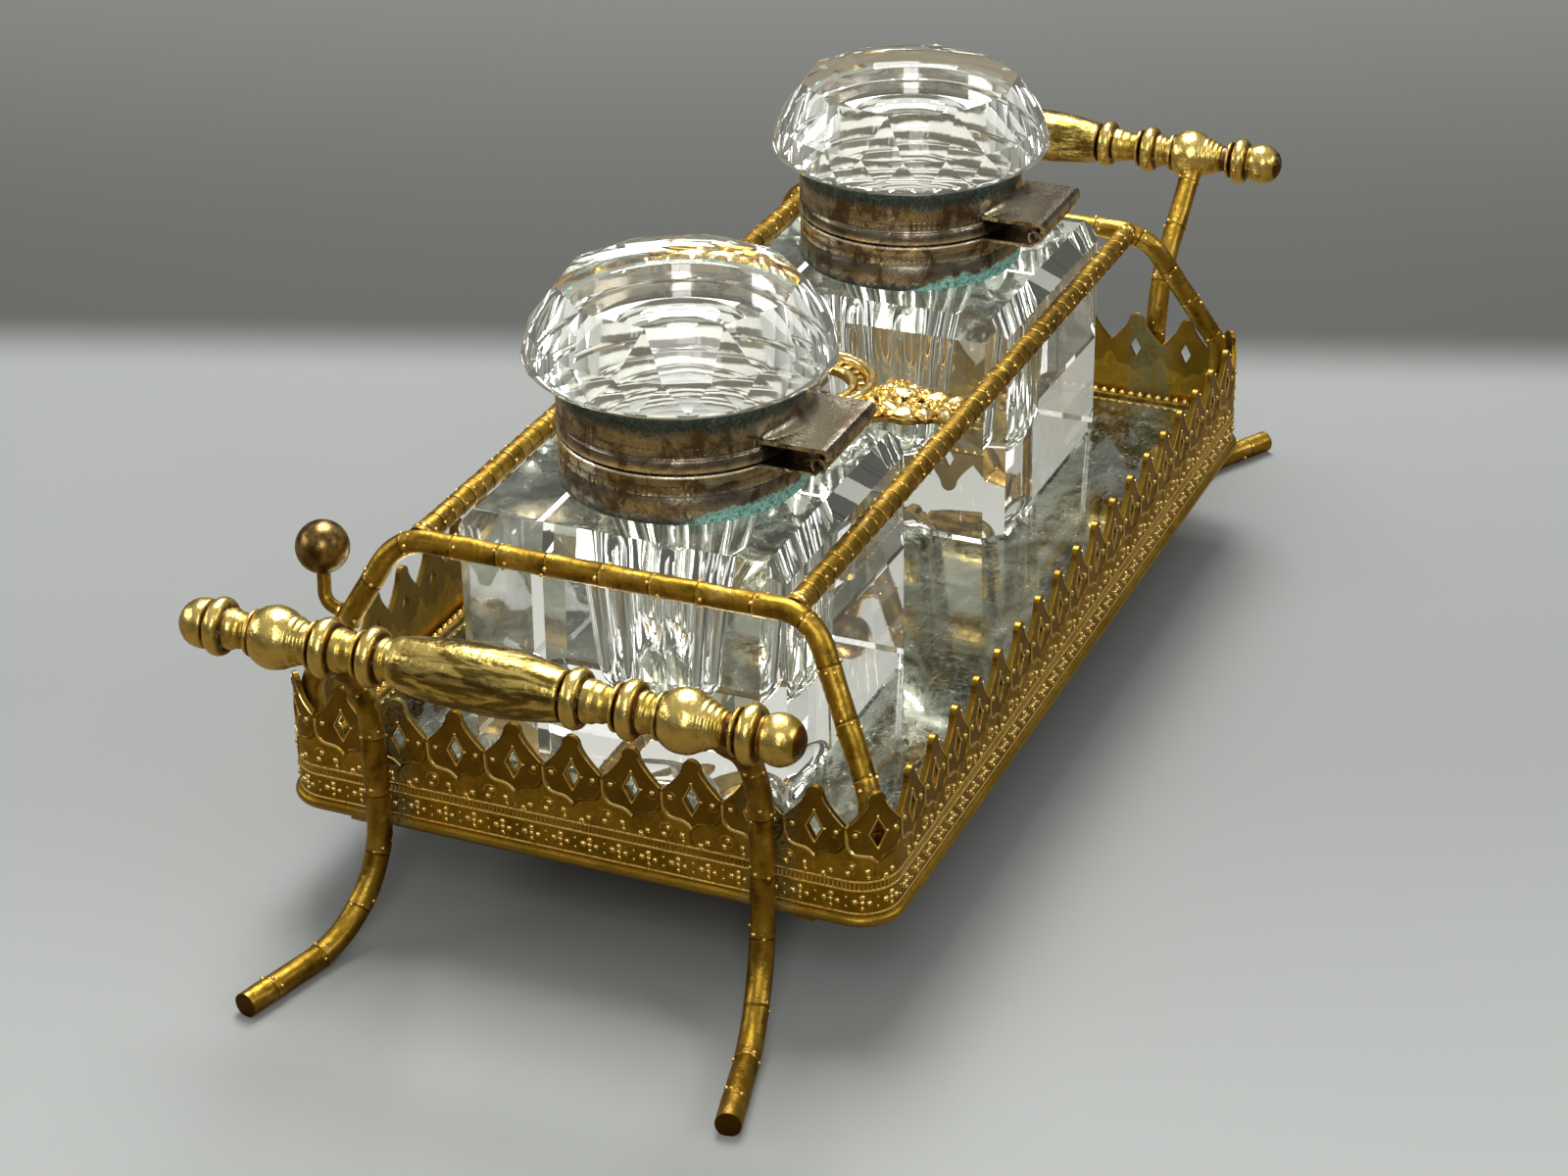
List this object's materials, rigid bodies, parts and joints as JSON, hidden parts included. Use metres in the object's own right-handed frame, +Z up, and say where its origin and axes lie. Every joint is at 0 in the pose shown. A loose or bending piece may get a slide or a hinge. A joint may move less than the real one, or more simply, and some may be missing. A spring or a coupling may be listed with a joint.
{
  "type": "desk inkstand",
  "caption": "Gilt desk inkstand: a mirror-floored gallery tray on bamboo legs with handles, holding lidded crystal inkwells between bamboo rails, with a pen rest.",
  "frame": {"origin": "on the table under the middle of the tray", "axes": "+X along the tray towards the end with the pen rest, +Y towards the hinge side at the back, -Y towards the writer, +Z up"},
  "size_m": [0.2278, 0.0944, 0.0881],
  "materials": {
    "tray_brass": "dull, tarnished sheet",
    "packing_board": "plain strawboard",
    "mirror_glass": "silvered glass, foxed and scratched, with a polished bevel",
    "stamped_gilt": "stamped and pierced strip, gilt worn to olive brown in the hollows",
    "bamboo_gilt": "chased gilt rod, semi-bright with brown patina at the knots",
    "turned_gilt": "turned gilt, bright on the crowns with pale residue in the grooves",
    "cast_gilt": "cast and gilt, burnished",
    "dark_bronze": "brown bronze, half gloss",
    "cut_crystal": "cut and polished lead crystal",
    "plaster": "matt plaster",
    "nickelled_brass": "worn nickel plate with verdigris at the glass",
    "pin_steel": "drawn wire"
  },
  "bodies": {
    "stand": {"base_plate": "tray_brass", "base_tabs": "tray_brass", "backing_board": "packing_board", "mirror_plate": "mirror_glass", "gallery_near_end": "stamped_gilt", "gallery_far_end": "stamped_gilt", "gallery_front": "stamped_gilt", "gallery_back": "stamped_gilt", "bead_strip_near": "stamped_gilt", "bead_strip_far": "stamped_gilt", "bead_strip_front": "stamped_gilt", "bead_strip_back": "stamped_gilt", "hoop_near": "bamboo_gilt", "hoop_far": "bamboo_gilt", "rail_front": "bamboo_gilt", "rail_back": "bamboo_gilt", "handle_near": "turned_gilt", "handle_far": "turned_gilt", "leg_near_front": "bamboo_gilt", "leg_near_back": "bamboo_gilt", "leg_far_front": "bamboo_gilt", "leg_far_back": "bamboo_gilt", "pen_rest_rod": "bamboo_gilt", "pen_rest_ball": "dark_bronze", "centre_ring": "cast_gilt", "centre_spray_front": "cast_gilt", "centre_spray_back": "cast_gilt"},
    "near_well": {"near_crystal_body": "cut_crystal", "near_neck_cement": "plaster", "near_lower_collar": "nickelled_brass", "near_hinge_lower_leaf": "nickelled_brass", "near_hinge_pin": "pin_steel"},
    "near_lid": {"near_hinge_upper_leaf": "nickelled_brass", "near_upper_collar": "nickelled_brass", "near_lid_cement": "plaster", "near_lid_crystal": "cut_crystal"},
    "far_well": {"far_crystal_body": "cut_crystal", "far_neck_cement": "plaster", "far_lower_collar": "nickelled_brass", "far_hinge_lower_leaf": "nickelled_brass", "far_hinge_pin": "pin_steel"},
    "far_lid": {"far_hinge_upper_leaf": "nickelled_brass", "far_upper_collar": "nickelled_brass", "far_lid_cement": "plaster", "far_lid_crystal": "cut_crystal"}
  },
  "joints": [
    {"name": "near_well_lift", "type": "slide", "parent": "stand", "child": "near_well", "axis": [0, 0, 1], "range_m": [0, 0.06]},
    {"name": "near_lid_hinge", "type": "hinge", "parent": "near_well", "child": "near_lid", "pos_m": [0.0445, 0.0244, 0.06748], "axis": [-1, 0, 0], "range_deg": [0, 105]},
    {"name": "far_well_lift", "type": "slide", "parent": "stand", "child": "far_well", "axis": [0, 0, 1], "range_m": [0, 0.06]},
    {"name": "far_lid_hinge", "type": "hinge", "parent": "far_well", "child": "far_lid", "pos_m": [-0.0445, 0.0244, 0.06748], "axis": [-1, 0, 0], "range_deg": [0, 105]}
  ]
}
